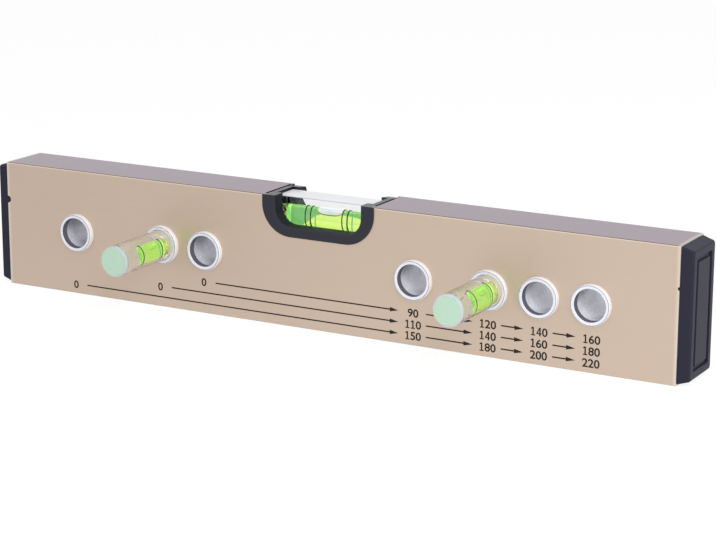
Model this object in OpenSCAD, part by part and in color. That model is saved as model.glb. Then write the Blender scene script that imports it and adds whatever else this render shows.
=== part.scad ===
// Electrician's level: a hollow aluminium profile with a block vial in its top edge,
// a row of seven lined holes and two clear plug-in pins that carry small vials of their own.
// The origin is the middle of the measuring base, +X runs along the level and +Z is up.

/* [Profile] */
// Length of the metal profile without its caps
profile_l = 286; // [280:1:300]
// Height of the profile
profile_h = 50; // [49:0.5:56]
// Thickness of the profile, front to back
profile_t = 22; // [21:0.5:26]
// Wall of the profile
wall = 1.8; // [1.4:0.1:2.2]
// Rounding of the long outer edges
edge_r = 0.6; // [0.3:0.1:1.2]

/* [Row of holes] */
// First hole to the left of the middle of the profile
first_hole = 109; // [106:1:112]
// Height of the row above the measuring base
hole_z = 25; // [20:0.5:25]
// Second hole from the first
hole_2 = 40; // [30:1:42]
// Third hole from the first
hole_3 = 60; // [58:1:70]
// Fourth hole from the first
hole_4 = 150; // [140:1:160]
// Fifth hole from the first
hole_5 = 180; // [177:1:182]
// Sixth hole from the first
hole_6 = 200; // [198:1:203]
// Seventh hole from the first
hole_7 = 220; // [219:1:225]

/* [Sleeves] */
// Outer diameter of the front flange
flange_d = 15; // [14.8:0.1:16]
// How far the flange stands proud of the front face
flange_h = 2.0; // [1:0.1:2.4]
// Rounding of the flange's outer edge
flange_round = 0.4; // [0.2:0.1:0.6]
// Outer diameter of the sleeve's tube
sleeve_d = 14; // [13.8:0.1:14.4]
// Bore of the sleeve
sleeve_bore = 12.1; // [12.05:0.05:12.4]
// Bevel at both mouths of the bore
mouth_bevel = 0.15; // [0.1:0.05:0.25]
// Length of the rubber grip ring along the bore
grip_l = 2.8; // [1.5:0.1:3.2]
// Wall of the rubber grip ring
grip_wall = 0.45; // [0.3:0.05:0.5]
// Metal lip in front of the grip ring
grip_lip = 0.3; // [0.3:0.1:1]

/* [End caps] */
// How far a cap stands out from the metal
cap_l = 4.7; // [4:0.1:6]
// Step between the metal's outline and the cap's base
cap_step = 0.45; // [0.3:0.05:0.8]
// Draw-in of the cap's long sides over its length
cap_taper_t = 0.2; // [0.1:0.05:1]
// Draw-in of the cap's top and bottom over its length
cap_taper_h = 1.2; // [0.6:0.1:2]
// Rounding of the cap's outer edges
cap_round = 1.0; // [0.6:0.1:1.4]
// Length of the cap's plug inside the profile
plug_l = 10; // [8:0.5:16]
// Wall of the cap's plug
plug_wall = 1.6; // [1.2:0.1:2.5]
// Border between the cap's end edge and its panel groove
panel_margin = 3.2; // [2.5:0.1:4]
// Width of the panel groove
panel_groove_w = 1.6; // [0.8:0.1:1.8]
// Depth of the panel groove
panel_groove_d = 0.9; // [0.3:0.1:1.2]
// Height of the locating key above the base
key_z = 34.8; // [30:0.2:38]
// Radius of the left cap's locating key
key_left_r = 1.4; // [0.5:0.1:1.6]
// Radius of the right cap's locating key
key_right_r = 0.6; // [0.5:0.1:1.4]

/* [Level vial] */
// Middle of the level vial from the middle of the profile
vial_x = 0.5; // [-4:0.5:4]
// Width of the vial frame
frame_w = 47.5; // [47:0.5:52]
// Depth of the vial frame below the top face
frame_depth = 15.3; // [15:0.1:15.8]
// How far the frame's rim stands proud of the front face
rim_proud = 0.4; // [0.2:0.1:0.8]
// Lap of the rim over the edge of the notch
rim_lap = 1.0; // [0.6:0.1:1.5]
// Width of the rim at the sides
rim_side = 5.6; // [5:0.1:6]
// Width of the rim along the bottom
rim_bottom = 3.8; // [3.6:0.1:4.2]
// Height of the rear lip that holds the block, above the floor of the notch
rear_lip = 0.9; // [0.7:0.1:2.5]
// Outer corner radius of the rim
rim_outer_r = 12; // [9:0.5:13]
// Corner radius of the rim's window
rim_inner_r = 6.5; // [4:0.5:8]
// Corner radius of the rear window
rear_r = 16; // [6:0.5:17]
// Length of the clear block
block_l = 41; // [40:0.5:42]
// Thickness of the clear block
block_t = 11.4; // [11:0.1:13]
// Height of the clear block
block_h = 13; // [12.8:0.1:13.4]
// Drop of the block's top below the top face
block_drop = 1.0; // [0.6:0.1:1]
// Middle of the vial's bore above the bottom of the block
bore_rise = 5.4; // [5:0.1:6]
// Largest radius of the vial's bore
bore_r = 4.0; // [3.6:0.1:4.2]
// Radius of the barrel arc along the vial's bore
bore_arc = 1000; // [600:50:2000]
// Part of the block beyond each end of the liquid, which the plug fills on the left
bore_end = 3.1; // [2.5:0.1:3.2]
// Distance of the inner pair of rings from the vial's middle
ring_inner = 6.75; // [6:0.25:7.5]
// Distance of the outer pair of rings from the vial's middle
ring_outer = 9.0; // [8.5:0.25:10]
// Width of a ring
ring_w = 0.45; // [0.3:0.05:0.6]
// Depth of a ring in the wall of the bore
ring_t = 0.2; // [0.1:0.05:0.3]
// Length of the bubble
bubble_l = 10.6; // [8:0.2:12]
// Radius of the bubble
bubble_r = 1.4; // [1:0.1:1.8]
// Rest place of the bubble, right of the vial's middle
bubble_rest = 1.2; // [0:0.1:1.3]

/* [Plug-in pins] */
// Diameter of the clear rod
pin_d = 11.9; // [11.7:0.05:11.95]
// Wall of the clear rod round its two plugs
pin_wall = 0.7; // [0.65:0.05:1.1]
// Length of a pin
pin_l = 54; // [50:0.5:60]
// How far a pin stands out from the front face
pin_out = 32.5; // [30:0.5:36]
// Rounding of the pin's front and rear edges
pin_round = 0.6; // [0.4:0.1:0.6]
// Thickness of the front plug
front_plug_l = 2; // [0.8:0.1:3]
// Middle of the small vial's bore in front of the front face
small_vial_out = 11.8; // [11:0.1:13]
// Drop of the small vial below the pin's axis
small_vial_drop = 0.6; // [0.3:0.1:1]
// Outer radius of the small vial
small_vial_r = 2.1; // [2:0.1:2.5]
// Length of the small vial
small_vial_l = 24.5; // [24:0.5:25.5]
// Depth of the rear plug's socket round the small vial
socket_l = 3.8; // [2:0.1:4.5]
// Part of the small vial in front of its bore
small_bore_end = 2.5; // [2:0.1:3]
// Part of the small vial behind its bore, which takes the stopper
stopper_end = 6; // [5.5:0.1:7]
// Largest radius of the small vial's bore
small_bore_r = 1.6; // [1.5:0.05:1.7]
// Radius of the barrel arc along the small bore
small_bore_arc = 300; // [200:50:800]
// How far the small vial's stopper sits inside the vial's rear end
stopper_inset = 0.5; // [0.2:0.1:1]
// Distance of each ring from the small vial's middle
small_ring = 6.25; // [5:0.25:7]
// Width of a small ring
small_ring_w = 0.6; // [0.4:0.1:0.8]
// Depth of a small ring in the wall of the bore
small_ring_t = 0.15; // [0.1:0.05:0.2]
// Length of the small bubble
small_bubble_l = 5.6; // [4:0.2:7]
// Radius of the small bubble
small_bubble_r = 0.5; // [0.4:0.1:0.6]

/* [Fits] */
// Radial clearance of pieces that turn or slide
running_gap = 0.05; // [0.02:0.01:0.09]
// Clearance of pieces that are seated and don't move
seat_gap = 0.03; // [0.01:0.01:0.06]
// Gap between a bubble and the top of its bore
bubble_gap = 0.35; // [0.3:0.05:0.5]
// Film between a bubble and the liquid's hollow round it
film_gap = 0.1; // [0.05:0.05:0.2]

/* [Hidden] */
$fn = 96;
barrel_steps = 10;
overshoot = 1;

front_y = -profile_t / 2;
inner_h = profile_h - 2 * wall;
inner_t = profile_t - 2 * wall;

hole_steps = [0, hole_2, hole_3, hole_4, hole_5, hole_6, hole_7];
function hole_x(i) = hole_steps[i - 1] - first_hole;
pin_hole_left = 2;
pin_hole_right = 5;

sleeve_front = front_y - flange_h;
grip_front = sleeve_front + grip_lip;
grip_seat_r = sleeve_bore / 2 + grip_wall;

frame_floor = profile_h - frame_depth;
window_floor = frame_floor + rim_bottom;
window_half = frame_w / 2 - rim_side;
notch_half = frame_w / 2 - rim_lap;
notch_floor = frame_floor + rim_lap;
rear_floor = notch_floor + rear_lip;
notch_r = rim_outer_r - rim_lap;
saddle_t = inner_t - 2 * seat_gap;
block_top = profile_h - block_drop;
block_floor = block_top - block_h;
bore_z = block_floor + bore_rise;
bore_l = block_l - 2 * bore_end;
bubble_z = bore_z + bore_r - bubble_gap - bubble_r;

pin_front = front_y - pin_out;
pin_bore_r = pin_d / 2 - pin_wall;
pin_rear = pin_front + pin_l;
small_vial_y = front_y - small_vial_out;
small_vial_z = hole_z - small_vial_drop;
small_bore_l = small_vial_l - small_bore_end - stopper_end;
small_vial_front = small_vial_y - small_bore_l / 2 - small_bore_end;
small_vial_rear = small_vial_front + small_vial_l;
rear_plug_front = small_vial_rear - socket_l;
stopper_r = small_bore_r - small_bore_l * small_bore_l / (8 * small_bore_arc) - seat_gap;
small_bubble_z = small_vial_z + small_bore_r - bubble_gap - small_bubble_r;

// Turns a shape drawn along +Z so that it runs along +Y
module along_y() {
    rotate([-90, 0, 0]) children();
}

// Turns a shape drawn along +Z so that it runs along +X
module along_x() {
    rotate([0, 90, 0]) children();
}

// Flat rectangle with round corners, centred
module round_rect(w, h, r) {
    square([w - 2 * r, h], center = true);
    square([w, h - 2 * r], center = true);
    for (sx = [-1, 1], sy = [-1, 1])
        translate([sx * (w / 2 - r), sy * (h / 2 - r)]) circle(r);
}

// Flat U, open at the top, with its floor and its corner radius
module u_shape(half_w, floor_z, r, top_z) {
    intersection() {
        union() {
            translate([-half_w, floor_z + r]) square([2 * half_w, top_z - floor_z]);
            translate([r - half_w, floor_z]) square([2 * (half_w - r), top_z - floor_z]);
            for (s = [-1, 1])
                translate([s * (half_w - r), floor_z + r]) circle(r);
        }
        translate([-2 * half_w, floor_z - r]) square([4 * half_w, top_z - floor_z + r]);
    }
}

// Stands a flat shape upright and gives it a thickness, centred on Y = 0
module upright(t) {
    rotate([90, 0, 0]) linear_extrude(t, center = true) children();
}

// Barrel along Z, widest in the middle
module barrel(r, l, arc) {
    side = [
        for (k = [0 : barrel_steps])
            let (z = l * (k / barrel_steps - 0.5))
            [r - arc + sqrt(arc * arc - z * z), z]
    ];
    rotate_extrude() polygon(concat([[0, -l / 2]], side, [[0, l / 2]]));
}

// Bubble along Z with round ends
module capsule(r, l) {
    cylinder(r = r, h = l - 2 * r, center = true);
    for (s = [-1, 1])
        translate([0, 0, s * (l / 2 - r)]) sphere(r);
}

// Space that a bubble takes from its liquid, drawn along Z and open towards -X up to a height
module bubble_hollow(r, l, height) {
    capsule(r, l);
    rotate([0, -90, 0]) linear_extrude(height) {
        square([l - 2 * r, 2 * r], center = true);
        for (s = [-1, 1])
            translate([s * (l / 2 - r), 0]) circle(r);
    }
}

// Metal profile, hollow, with its notch for the vial frame and its row of holes
module profile() {
    color("tan")
    difference() {
        translate([0, 0, profile_h / 2]) along_x()
            linear_extrude(profile_l, center = true)
                round_rect(profile_h, profile_t, edge_r);
        translate([0, 0, profile_h / 2])
            cube([profile_l + 2 * overshoot, inner_t, inner_h], center = true);
        translate([vial_x, 0, 0])
            upright(profile_t + 2 * overshoot)
                u_shape(notch_half, notch_floor, notch_r, profile_h + overshoot);
        translate([vial_x - frame_w / 2, -inner_t / 2, profile_h - wall - overshoot])
            cube([frame_w, inner_t, wall + 2 * overshoot]);
        for (i = [1 : 7])
            translate([hole_x(i), front_y - overshoot, hole_z])
                along_y() cylinder(r = sleeve_d / 2 + seat_gap, h = profile_t + 2 * overshoot);
        for (side = [-1, 1])
            translate([side * profile_l / 2, 0, key_z]) rotate([90, 0, 0])
                cylinder(r = key_radius(side) + seat_gap, h = profile_t + 2 * overshoot, center = true);
    }
}

function key_radius(side) = side < 0 ? key_left_r : key_right_r;

// End cap: a drawn-in head with a grooved panel, and a hollow plug that fills the profile
module end_cap(side) {
    head_t = profile_t - 2 * cap_step;
    head_h = profile_h - 2 * cap_step;
    end_t = head_t - 2 * cap_taper_t;
    end_h = head_h - 2 * cap_taper_h;
    panel_t = end_t - 2 * panel_margin;
    panel_h = end_h - 2 * panel_margin;
    plug_t = inner_t - 2 * seat_gap;
    plug_h = inner_h - 2 * seat_gap;
    base_sheet = 0.2;
    color("dimgray")
    translate([side * profile_l / 2, 0, profile_h / 2])
    mirror([side < 0 ? 1 : 0, 0, 0]) {
        difference() {
            hull() {
                for (sy = [-1, 1], sz = [-1, 1]) {
                    translate([0, sy * (head_t / 2 - cap_round), sz * (head_h / 2 - cap_round)])
                        along_x() cylinder(r = cap_round, h = base_sheet, $fn = 32);
                    translate([
                        cap_l - cap_round,
                        sy * (end_t / 2 - cap_round),
                        sz * (end_h / 2 - cap_round)
                    ])
                        sphere(cap_round, $fn = 32);
                }
            }
            translate([cap_l - panel_groove_d, 0, 0]) along_x()
                linear_extrude(panel_groove_d + overshoot)
                    difference() {
                        square([panel_h, panel_t], center = true);
                        square([panel_h - 2 * panel_groove_w, panel_t - 2 * panel_groove_w], center = true);
                    }
        }
        translate([-plug_l, 0, 0]) along_x()
            linear_extrude(plug_l)
                difference() {
                    square([plug_h, plug_t], center = true);
                    square([plug_h - 2 * plug_wall, plug_t - 2 * plug_wall], center = true);
                }
        for (sy = [-1, 1])
            translate([0, sy * (head_t + plug_t) / 4, key_z - profile_h / 2])
                rotate([90, 0, 0])
                    cylinder(r = key_radius(side), h = (head_t - plug_t) / 2, center = true);
    }
}

// Saddle that carries the block vial, with a rim that laps the front face and a flush back
module vial_frame() {
    color("dimgray")
    translate([vial_x, 0, 0])
    difference() {
        union() {
            upright(saddle_t)
                u_shape(frame_w / 2 - seat_gap, frame_floor, rim_outer_r, profile_h);
            upright(profile_t)
                u_shape(notch_half - seat_gap, notch_floor + seat_gap, notch_r - seat_gap, profile_h);
            translate([0, front_y - rim_proud / 2, 0])
                upright(rim_proud) u_shape(frame_w / 2, frame_floor, rim_outer_r, profile_h);
        }
        upright(profile_t + 4 * overshoot)
            u_shape(window_half, window_floor, rim_inner_r, profile_h + overshoot);
        translate([0, profile_t / 4 + overshoot, 0]) upright(profile_t / 2 + 2 * overshoot)
            u_shape(window_half, rear_floor, rear_r, profile_h + overshoot);
        translate([-block_l / 2 - seat_gap, -block_t / 2 - seat_gap, block_floor])
            cube([block_l + 2 * seat_gap, block_t + 2 * seat_gap, frame_depth]);
    }
}

// Places a shape drawn along +Z on the level vial's axis
module on_level_axis() {
    translate([vial_x, 0, bore_z]) along_x() children();
}

level_ring_places = [-ring_outer, -ring_inner, ring_inner, ring_outer];

// Clear block with its barrel-shaped bore, open at the left end for the plug
module level_vial_block() {
    color("lightcyan")
    difference() {
        translate([vial_x - block_l / 2, -block_t / 2, block_floor])
            cube([block_l, block_t, block_h]);
        on_level_axis() barrel(bore_r + seat_gap, bore_l, bore_arc);
        on_level_axis()
            for (x = level_ring_places)
                translate([0, 0, x])
                    cylinder(r = bore_r + ring_t + seat_gap, h = ring_w + 2 * seat_gap, center = true);
        on_level_axis()
            translate([0, 0, -block_l / 2 - overshoot])
                cylinder(r = bore_r - ring_t, h = bore_end + overshoot);
    }
}

// Plug that closes the left end of the block's bore
module level_vial_plug() {
    color("gold")
    on_level_axis()
        translate([0, 0, -block_l / 2])
            cylinder(r = bore_r - ring_t - seat_gap, h = bore_end - seat_gap);
}

// Four marking rings set in the wall of the bore
module level_vial_rings() {
    color("black")
    on_level_axis()
        for (x = level_ring_places)
            translate([0, 0, x])
                difference() {
                    cylinder(r = bore_r + ring_t, h = ring_w, center = true);
                    cylinder(r = bore_r + seat_gap, h = ring_w + overshoot, center = true);
                }
}

// Liquid of the level vial, with a hollow where its bubble rests
module level_vial_liquid() {
    color("greenyellow")
    difference() {
        on_level_axis() barrel(bore_r, bore_l - 2 * seat_gap, bore_arc);
        translate([vial_x + bubble_rest, 0, bubble_z]) along_x()
            bubble_hollow(bubble_r + film_gap, bubble_l + 2 * film_gap, 2 * bore_r);
    }
}

// Bubble of the level vial
module level_vial_bubble() {
    color("white")
    translate([vial_x + bubble_rest, 0, bubble_z]) along_x() capsule(bubble_r, bubble_l);
}

// Metal sleeve that lines one hole, with a flange in front and a seat for its grip ring
module sleeve(i) {
    tube_end = profile_t + flange_h;
    color("silver")
    translate([hole_x(i), sleeve_front, hole_z]) along_y()
    difference() {
        union() {
            rotate_extrude() {
                square([flange_d / 2 - flange_round, flange_h]);
                translate([0, flange_round]) square([flange_d / 2, flange_h - flange_round]);
                translate([flange_d / 2 - flange_round, flange_round]) circle(flange_round);
            }
            cylinder(r = sleeve_d / 2, h = tube_end);
        }
        translate([0, 0, -overshoot]) cylinder(r = sleeve_bore / 2, h = tube_end + 2 * overshoot);
        translate([0, 0, grip_lip]) cylinder(r = grip_seat_r, h = grip_l);
        cylinder(r1 = sleeve_bore / 2 + mouth_bevel, r2 = sleeve_bore / 2, h = mouth_bevel);
        translate([0, 0, tube_end - mouth_bevel])
            cylinder(r1 = sleeve_bore / 2, r2 = sleeve_bore / 2 + mouth_bevel, h = mouth_bevel);
    }
}

// Rubber grip ring in its seat: a free one is flush with the bore, one that holds a pin is tighter
module grip_ring(i) {
    holds_pin = i == pin_hole_left || i == pin_hole_right;
    inner_r = holds_pin ? pin_d / 2 + running_gap : sleeve_bore / 2;
    side_gap = holds_pin ? running_gap : seat_gap;
    color("darkslategray")
    translate([hole_x(i), grip_front + side_gap, hole_z]) along_y()
    difference() {
        cylinder(r = grip_seat_r - side_gap, h = grip_l - 2 * side_gap);
        translate([0, 0, -overshoot]) cylinder(r = inner_r, h = grip_l + 2 * overshoot);
    }
}

// Clear rod of a pin with rounded ends, a seat for each plug and an off-centre bore for the small vial
module pin_rod(i) {
    r = pin_d / 2;
    color("honeydew")
    translate([hole_x(i), 0, hole_z])
    difference() {
        translate([0, pin_front, 0]) along_y()
        rotate_extrude() {
            square([r - pin_round, pin_l]);
            translate([0, pin_round]) square([r, pin_l - 2 * pin_round]);
            for (y = [pin_round, pin_l - pin_round])
                translate([r - pin_round, y]) circle(pin_round);
        }
        translate([0, pin_front - overshoot, 0]) along_y()
            cylinder(r = pin_bore_r, h = front_plug_l + seat_gap + overshoot);
        translate([0, rear_plug_front - seat_gap, 0]) along_y()
            cylinder(r = pin_bore_r, h = pin_rear - rear_plug_front + seat_gap + overshoot);
        translate([0, small_vial_front - seat_gap, -small_vial_drop]) along_y()
            cylinder(
                r = small_vial_r + seat_gap,
                h = rear_plug_front - small_vial_front + seat_gap
            );
    }
}

// Pale green plug in the front end of a pin
module pin_front_plug(i) {
    color("palegreen")
    translate([hole_x(i), pin_front, hole_z]) along_y()
        cylinder(r = pin_bore_r - seat_gap, h = front_plug_l);
}

// Rear plug of a pin, with the socket that holds the small vial
module pin_rear_plug(i) {
    color("whitesmoke")
    translate([hole_x(i), 0, hole_z])
    difference() {
        translate([0, rear_plug_front, 0]) along_y()
            cylinder(r = pin_bore_r - seat_gap, h = pin_rear - rear_plug_front);
        translate([0, rear_plug_front - overshoot, -small_vial_drop]) along_y()
            cylinder(r = small_vial_r + seat_gap, h = socket_l + overshoot);
    }
}

// Places a shape drawn along +Z on a small vial's axis, with its middle at the middle of the bore
module on_small_axis(i) {
    translate([hole_x(i), small_vial_y, small_vial_z]) along_y() children();
}

// Clear body of the small vial, open at the rear for its stopper
module pin_vial(i) {
    color("honeydew")
    on_small_axis(i)
    difference() {
        translate([0, 0, small_vial_front - small_vial_y]) cylinder(r = small_vial_r, h = small_vial_l);
        barrel(small_bore_r + seat_gap, small_bore_l, small_bore_arc);
        cylinder(r = stopper_r + seat_gap, h = small_vial_rear - small_vial_y + overshoot);
        for (s = [-1, 1])
            translate([0, 0, s * small_ring])
                cylinder(
                    r = small_bore_r + small_ring_t + seat_gap,
                    h = small_ring_w + 2 * seat_gap,
                    center = true
                );
    }
}

// Stopper that closes the rear of the small vial
module pin_stopper(i) {
    color("whitesmoke")
    on_small_axis(i)
        translate([0, 0, small_bore_l / 2 + seat_gap])
            cylinder(r = stopper_r, h = stopper_end - seat_gap - stopper_inset);
}

// Two marking rings set in the wall of the small bore
module pin_rings(i) {
    color("black")
    on_small_axis(i)
        for (s = [-1, 1])
            translate([0, 0, s * small_ring])
                difference() {
                    cylinder(r = small_bore_r + small_ring_t, h = small_ring_w, center = true);
                    cylinder(r = small_bore_r + seat_gap, h = small_ring_w + overshoot, center = true);
                }
}

// Liquid of the small vial, with a hollow where its bubble rests
module pin_liquid(i) {
    color("greenyellow")
    difference() {
        on_small_axis(i) barrel(small_bore_r, small_bore_l - 2 * seat_gap, small_bore_arc);
        translate([hole_x(i), small_vial_y, small_bubble_z]) rotate([0, 0, 90]) along_x()
            bubble_hollow(small_bubble_r + film_gap, small_bubble_l + 2 * film_gap, 2 * small_bore_r);
    }
}

// Bubble of the small vial
module pin_bubble(i) {
    color("white")
    translate([hole_x(i), small_vial_y, small_bubble_z]) along_y()
        capsule(small_bubble_r, small_bubble_l);
}

profile();
end_cap(-1);  // end_cap_left
end_cap(1);  // end_cap_right
vial_frame();
level_vial_block();
level_vial_plug();
level_vial_rings();
level_vial_liquid();
level_vial_bubble();
for (i = [1 : 7]) {
    sleeve(i);
    grip_ring(i);
}
pin_rod(pin_hole_left);  // pin_left_rod
pin_front_plug(pin_hole_left);  // pin_left_front_plug
pin_rear_plug(pin_hole_left);  // pin_left_rear_plug
pin_vial(pin_hole_left);  // pin_left_vial
pin_stopper(pin_hole_left);  // pin_left_stopper
pin_rings(pin_hole_left);  // pin_left_rings
pin_liquid(pin_hole_left);  // pin_left_liquid
pin_bubble(pin_hole_left);  // pin_left_bubble
pin_rod(pin_hole_right);  // pin_right_rod
pin_front_plug(pin_hole_right);  // pin_right_front_plug
pin_rear_plug(pin_hole_right);  // pin_right_rear_plug
pin_vial(pin_hole_right);  // pin_right_vial
pin_stopper(pin_hole_right);  // pin_right_stopper
pin_rings(pin_hole_right);  // pin_right_rings
pin_liquid(pin_hole_right);  // pin_right_liquid
pin_bubble(pin_hole_right);  // pin_right_bubble
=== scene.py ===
import math

import bmesh
import bpy
from mathutils import Matrix, Vector

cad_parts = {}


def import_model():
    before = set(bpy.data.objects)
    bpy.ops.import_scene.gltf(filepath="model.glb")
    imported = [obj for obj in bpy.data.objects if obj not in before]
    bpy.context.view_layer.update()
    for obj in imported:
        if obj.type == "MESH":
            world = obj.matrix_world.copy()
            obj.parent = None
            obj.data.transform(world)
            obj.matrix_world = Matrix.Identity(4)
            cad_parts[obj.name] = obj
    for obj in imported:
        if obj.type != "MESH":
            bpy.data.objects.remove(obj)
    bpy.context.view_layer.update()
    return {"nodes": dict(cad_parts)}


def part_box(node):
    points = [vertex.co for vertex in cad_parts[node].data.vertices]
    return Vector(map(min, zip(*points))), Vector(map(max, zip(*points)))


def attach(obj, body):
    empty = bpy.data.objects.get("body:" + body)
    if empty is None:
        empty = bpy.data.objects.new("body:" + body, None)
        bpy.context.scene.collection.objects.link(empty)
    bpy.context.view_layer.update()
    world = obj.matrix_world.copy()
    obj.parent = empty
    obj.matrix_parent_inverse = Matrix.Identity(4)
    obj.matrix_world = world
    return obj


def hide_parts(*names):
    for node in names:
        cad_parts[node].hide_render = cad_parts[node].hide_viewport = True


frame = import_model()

# Sizes taken from the frame, in metres
MM = 0.001
nodes = frame["nodes"]
profile_low, profile_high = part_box("profile")
front_y = profile_low.y
back_y = profile_high.y
top_z = profile_high.z
frame_low, frame_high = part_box("vial_frame")
block_low, block_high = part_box("level_vial_block")
vial_x = (block_low.x + block_high.x) / 2
HOLES = range(1, 8)
PIN_SIDES = ("left", "right")

# Mesh fineness
ROUND_STEPS = 64
CORNER_STEPS = 8
EDGE_STEPS = 3
SHARP_ANGLE = math.radians(35)


# Mesh helpers

def add_object(name, data):
    """Puts an object with its mesh, curve, lamp or lens into the scene."""
    made = bpy.data.objects.new(name, data)
    bpy.context.scene.collection.objects.link(made)
    return made


def place(name, shape, body, material, slot, *stands_for):
    """Makes a piece from a bmesh, smooth but for its sharp edges, and lets it ride on a body."""
    bmesh.ops.recalc_face_normals(shape, faces=shape.faces)
    mesh = bpy.data.meshes.new(name)
    shape.to_mesh(mesh)
    shape.free()
    mesh.shade_smooth()
    mesh.set_sharp_from_angle(angle=SHARP_ANGLE)
    mesh.materials.append(material)
    piece = add_object(name, mesh)
    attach(piece, body)
    if stands_for:
        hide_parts(*stands_for)
    return piece


def even_normals(piece):
    """Keeps flat faces flat beside their rounded edges."""
    normals = piece.modifiers.new("even_normals", "WEIGHTED_NORMAL")
    normals.keep_sharp = True


def round_edges(piece, width):
    """Rounds every sharp edge of a piece, and gives back the modifier that does it."""
    rounding = piece.modifiers.new("round_edges", "BEVEL")
    rounding.width = width
    rounding.segments = EDGE_STEPS
    rounding.limit_method = "ANGLE"
    rounding.angle_limit = SHARP_ANGLE
    rounding.harden_normals = True
    return rounding


def skin(shape, loops, around=True, ends=True):
    """Joins each loop of points to the next, as a closed tube with filled ends or as an open sheet."""
    rings = [[shape.verts.new(point) for point in loop] for loop in loops]
    for ring, following in zip(rings, rings[1:]):
        for here in range(len(ring) if around else len(ring) - 1):
            there = (here + 1) % len(ring)
            shape.faces.new((ring[here], ring[there], following[there], following[here]))
    if ends:
        shape.faces.new(rings[0])
        shape.faces.new(rings[-1])
    return rings


def arc(centre, radius, start, end, steps):
    """Points of an arc as pairs of numbers, with its angles in degrees."""
    points = []
    for step in range(steps + 1):
        angle = math.radians(start + (end - start) * step / steps)
        points.append((centre[0] + radius * math.cos(angle), centre[1] + radius * math.sin(angle)))
    return points


def lathe(shape, outline, origin, along):
    """Turns an outline of (radius, distance) pairs about an axis. It starts and ends on the axis."""
    along = Vector(along)
    side = Vector((0, 0, 1))
    other = along.cross(side)
    first = shape.verts.new(origin + along * outline[0][1])
    last = shape.verts.new(origin + along * outline[-1][1])
    rings = []
    for radius, distance in outline[1:-1]:
        ring = []
        for step in range(ROUND_STEPS):
            angle = math.tau * step / ROUND_STEPS
            spoke = side * math.cos(angle) + other * math.sin(angle)
            ring.append(shape.verts.new(origin + along * distance + spoke * radius))
        rings.append(ring)
    for step in range(ROUND_STEPS):
        following = (step + 1) % ROUND_STEPS
        shape.faces.new((first, rings[0][step], rings[0][following]))
        shape.faces.new((last, rings[-1][step], rings[-1][following]))
        for ring, outer in zip(rings, rings[1:]):
            shape.faces.new((ring[step], ring[following], outer[following], outer[step]))


# Material helpers

def feed(tree, value, socket):
    """Links a socket to an input, or sets the input's own value."""
    if isinstance(value, bpy.types.NodeSocket):
        tree.links.new(value, socket)
    else:
        socket.default_value = value


def add(tree, kind, inputs=None, **settings):
    """Adds one shader node with its settings and inputs."""
    made = tree.nodes.new("ShaderNode" + kind)
    for name, value in settings.items():
        setattr(made, name, value)
    for name, value in (inputs or {}).items():
        feed(tree, value, made.inputs[name])
    return made


def math_node(tree, operation, first, second=0.0):
    """The result of one sum."""
    return add(tree, "Math", {0: first, 1: second}, operation=operation).outputs[0]


def vector_node(tree, operation, first, second):
    """The result of one sum of two vectors."""
    return add(tree, "VectorMath", {0: first, 1: second}, operation=operation).outputs[0]


def blend_colour(tree, share, first, second):
    """The second colour laid over the first by a share."""
    return add(tree, "Mix", {0: share, 6: first, 7: second}, data_type="RGBA").outputs[2]


def noise(tree, spot, scale, detail):
    """Cloudy noise between 0 and 1."""
    return add(tree, "TexNoise", {"Vector": spot, "Scale": scale, "Detail": detail}).outputs[0]


def ramp(tree, value, low, high, to_low=0.0, to_high=1.0):
    """A value spread from one range to another, and held at its ends."""
    made = add(
        tree, "MapRange",
        {"Value": value, "From Min": low, "From Max": high, "To Min": to_low, "To Max": to_high},
    )
    return made.outputs["Result"]


def band(tree, value, rise, fall):
    """1 where a value lies between its rise and its fall, and 0 outside them."""
    return math_node(tree, "MULTIPLY", ramp(tree, value, *rise), ramp(tree, value, *fall))


def new_material(name, **sockets):
    """A material with its own Principled shader and that shader's plain values."""
    material = bpy.data.materials.new(name)
    material.use_nodes = True
    tree = material.node_tree
    shader = tree.nodes["Principled BSDF"]
    for socket, value in sockets.items():
        shader.inputs[socket.replace("_", " ")].default_value = value
    return material, tree, shader


def colour(red, green, blue):
    """A colour as it shows on a screen, 0 to 255, in the light values that shaders take."""
    def light(value):
        share = value / 255
        return share / 12.92 if share <= 0.04045 else ((share + 0.055) / 1.055) ** 2.4
    return (light(red), light(green), light(blue), 1.0)


def new_group(name, inputs, outputs):
    """A shader group with named sockets, and the nodes that hold them."""
    tree = bpy.data.node_groups.new(name, "ShaderNodeTree")
    for label, kind, value in inputs:
        socket = tree.interface.new_socket(label, in_out="INPUT", socket_type="NodeSocket" + kind)
        socket.default_value = value
    for label, kind in outputs:
        tree.interface.new_socket(label, in_out="OUTPUT", socket_type="NodeSocket" + kind)
    return tree, tree.nodes.new("NodeGroupInput").outputs, tree.nodes.new("NodeGroupOutput").inputs


def use_group(tree, group, **inputs):
    """Places a group in a material with its own values."""
    made = tree.nodes.new("ShaderNodeGroup")
    made.node_tree = group
    for name, value in inputs.items():
        feed(tree, value, made.inputs[name.replace("_", " ")])
    return made.outputs


GRAIN_SHARE = 0.6
GRAIN_DETAIL = 4.0
CLOUD_SHARE = 0.4
CLOUD_SCALE = 0.04
CLOUD_DETAIL = 2.0


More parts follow.
